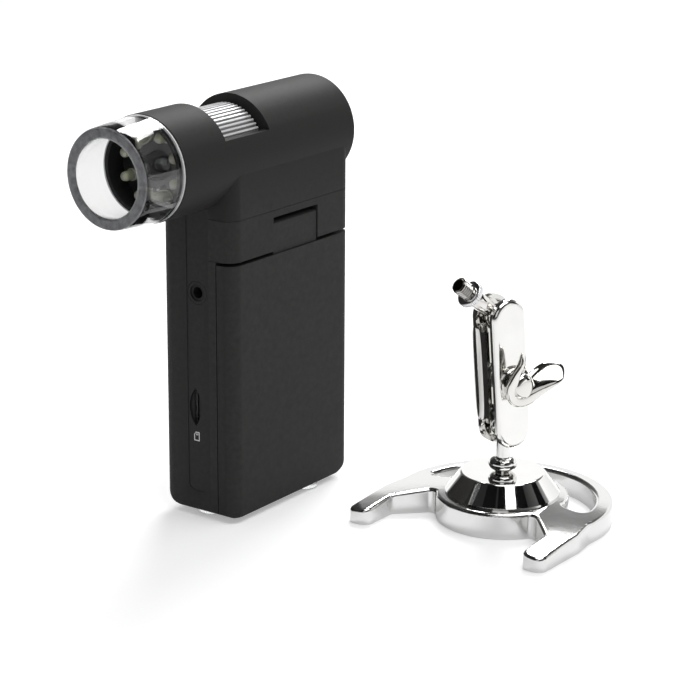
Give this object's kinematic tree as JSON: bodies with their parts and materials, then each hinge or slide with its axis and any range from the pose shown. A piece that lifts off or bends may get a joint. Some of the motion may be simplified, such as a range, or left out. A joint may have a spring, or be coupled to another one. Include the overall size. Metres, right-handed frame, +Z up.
{
  "type": "digital microscope",
  "caption": "Handheld digital microscope with a flip-out screen, a clear lens cap and focus wheel, and a chromed table stand with a ball-jointed clamp arm.",
  "frame": {"origin": "mouth of the threaded stand socket in the flat bottom of the upright body", "axes": "+Z up, -X the way the lens looks, -Y the screen side; the stand stands free on the same table on the -Y side"},
  "size_m": [0.1263, 0.1267, 0.128],
  "materials": {
    "housing_black": "soft matt",
    "trim_black": "matt",
    "button_grey": "matt",
    "clear_plastic": "clear, polished",
    "foot_clear": "clear, soft",
    "wheel_silver": "silver, satin",
    "inner_black": "matt",
    "lamp_clear": "clear, polished",
    "circuit_black": "satin",
    "circuit_green": "satin",
    "component_black": "satin",
    "battery_foil": "satin",
    "lens_glass": "clear",
    "screen_glass": "clear, polished",
    "screen_dark": "polished",
    "steel": "satin",
    "socket_brass": "satin",
    "chrome": "polished"
  },
  "bodies": {
    "microscope": {"upper_housing": "housing_black", "rear_shell": "housing_black", "hinge_block": "housing_black", "hinge_pin": "steel", "button_panel": "housing_black", "main_board": "circuit_green", "tact_switches": "component_black", "battery": "battery_foil", "side_strip": "trim_black", "video_jack": "trim_black", "card_socket": "trim_black", "usb_port": "steel", "stand_socket": "socket_brass", "body_feet": "foot_clear", "housing_screws": "steel", "lens_bezel": "inner_black", "lamp_board": "circuit_black", "lamps": "lamp_clear", "guide_tube": "inner_black", "sensor_board": "circuit_green", "image_sensor": "component_black"},
    "focus_wheel": {"focus_wheel": "wheel_silver"},
    "lens_carriage": {"lens_carriage": "inner_black", "front_lens": "lens_glass", "rear_lens": "lens_glass"},
    "clear_cap": {"clear_cap": "clear_plastic"},
    "screen_lid": {"lid_cover": "housing_black", "screen_bezel": "trim_black", "lcd_panel": "screen_dark", "screen_window": "screen_glass", "hinge_knuckle": "housing_black", "swivel_post": "steel", "lid_foot": "foot_clear"},
    "power_button": {"power_button": "button_grey"},
    "shutter_button": {"shutter_button": "button_grey"},
    "menu_button": {"menu_button": "button_grey"},
    "down_button": {"down_button": "button_grey"},
    "ok_button": {"ok_button": "button_grey"},
    "up_button": {"up_button": "button_grey"},
    "stand_base": {"stand_base": "chrome", "base_cone": "chrome", "stand_post": "chrome"},
    "lower_ball": {"lower_ball": "chrome"},
    "stand_arm": {"arm_front": "chrome", "arm_back": "chrome", "clamp_screw": "chrome", "clamp_spring": "steel"},
    "wing_nut": {"wing_nut": "chrome"},
    "ball_stud": {"ball_stud": "chrome"},
    "lock_collar": {"lock_collar": "chrome"}
  },
  "joints": [
    {"name": "focus_turn", "type": "hinge", "parent": "microscope", "child": "focus_wheel", "pos_m": [-0.0196, 0, 0.11], "axis": [1, 0, 0], "range_deg": [0, 300]},
    {"name": "lens_slide", "type": "slide", "parent": "microscope", "child": "lens_carriage", "axis": [1, 0, 0], "range_m": [0, 0.004]},
    {"name": "cap_slide", "type": "slide", "parent": "microscope", "child": "clear_cap", "axis": [-1, 0, 0], "range_m": [0, 0.02]},
    {"name": "screen_flip", "type": "hinge", "parent": "microscope", "child": "screen_lid", "pos_m": [0.0026, -0.0124, 0.0838], "axis": [-1, 0, 0], "range_deg": [0, 110]},
    {"name": "power_press", "type": "slide", "parent": "microscope", "child": "power_button", "axis": [0, 1, 0], "range_m": [0, 0.0004], "stiffness_N_per_m": 900},
    {"name": "shutter_press", "type": "slide", "parent": "microscope", "child": "shutter_button", "axis": [0, 1, 0], "range_m": [0, 0.0004], "stiffness_N_per_m": 900},
    {"name": "menu_press", "type": "slide", "parent": "microscope", "child": "menu_button", "axis": [0, 1, 0], "range_m": [0, 0.0004], "stiffness_N_per_m": 900},
    {"name": "down_press", "type": "slide", "parent": "microscope", "child": "down_button", "axis": [0, 1, 0], "range_m": [0, 0.0004], "stiffness_N_per_m": 900},
    {"name": "ok_press", "type": "slide", "parent": "microscope", "child": "ok_button", "axis": [0, 1, 0], "range_m": [0, 0.0004], "stiffness_N_per_m": 900},
    {"name": "up_press", "type": "slide", "parent": "microscope", "child": "up_button", "axis": [0, 1, 0], "range_m": [0, 0.0004], "stiffness_N_per_m": 900},
    {"name": "stand_slide", "type": "slide", "parent": "microscope", "child": "stand_base", "axis": [0, -1, 0], "range_m": [0, 0.0576]},
    {"name": "post_turn", "type": "hinge", "parent": "stand_base", "child": "lower_ball", "pos_m": [0.02675, -0.076, 0.028], "axis": [0, 0, 1], "continuous": true},
    {"name": "arm_tilt", "type": "hinge", "parent": "lower_ball", "child": "stand_arm", "pos_m": [0.02675, -0.076, 0.028], "axis": [-0.3156, -0.9489, 0], "range_deg": [-60, 60]},
    {"name": "nut_turn", "type": "hinge", "parent": "stand_arm", "child": "wing_nut", "pos_m": [0.02551, -0.07559, 0.04234], "axis": [-0.3156, -0.9489, 0], "range_deg": [0, 180]},
    {"name": "stud_swing", "type": "hinge", "parent": "stand_arm", "child": "ball_stud", "pos_m": [0.02383, -0.07503, 0.06186], "axis": [-0.3156, -0.9489, 0], "range_deg": [-130, 30]},
    {"name": "collar_turn", "type": "hinge", "parent": "ball_stud", "child": "lock_collar", "pos_m": [0.02383, -0.07503, 0.06186], "axis": [-0.7416, 0.2467, 0.6239], "range_deg": [0, 180]}
  ],
  "couplings": [
    {"joint": "lens_slide", "follows": "focus_turn", "m_per_rad": 0.00076},
    {"joint": "screen_flip", "follows": "stand_slide", "rad_per_m": 33.33}
  ]
}
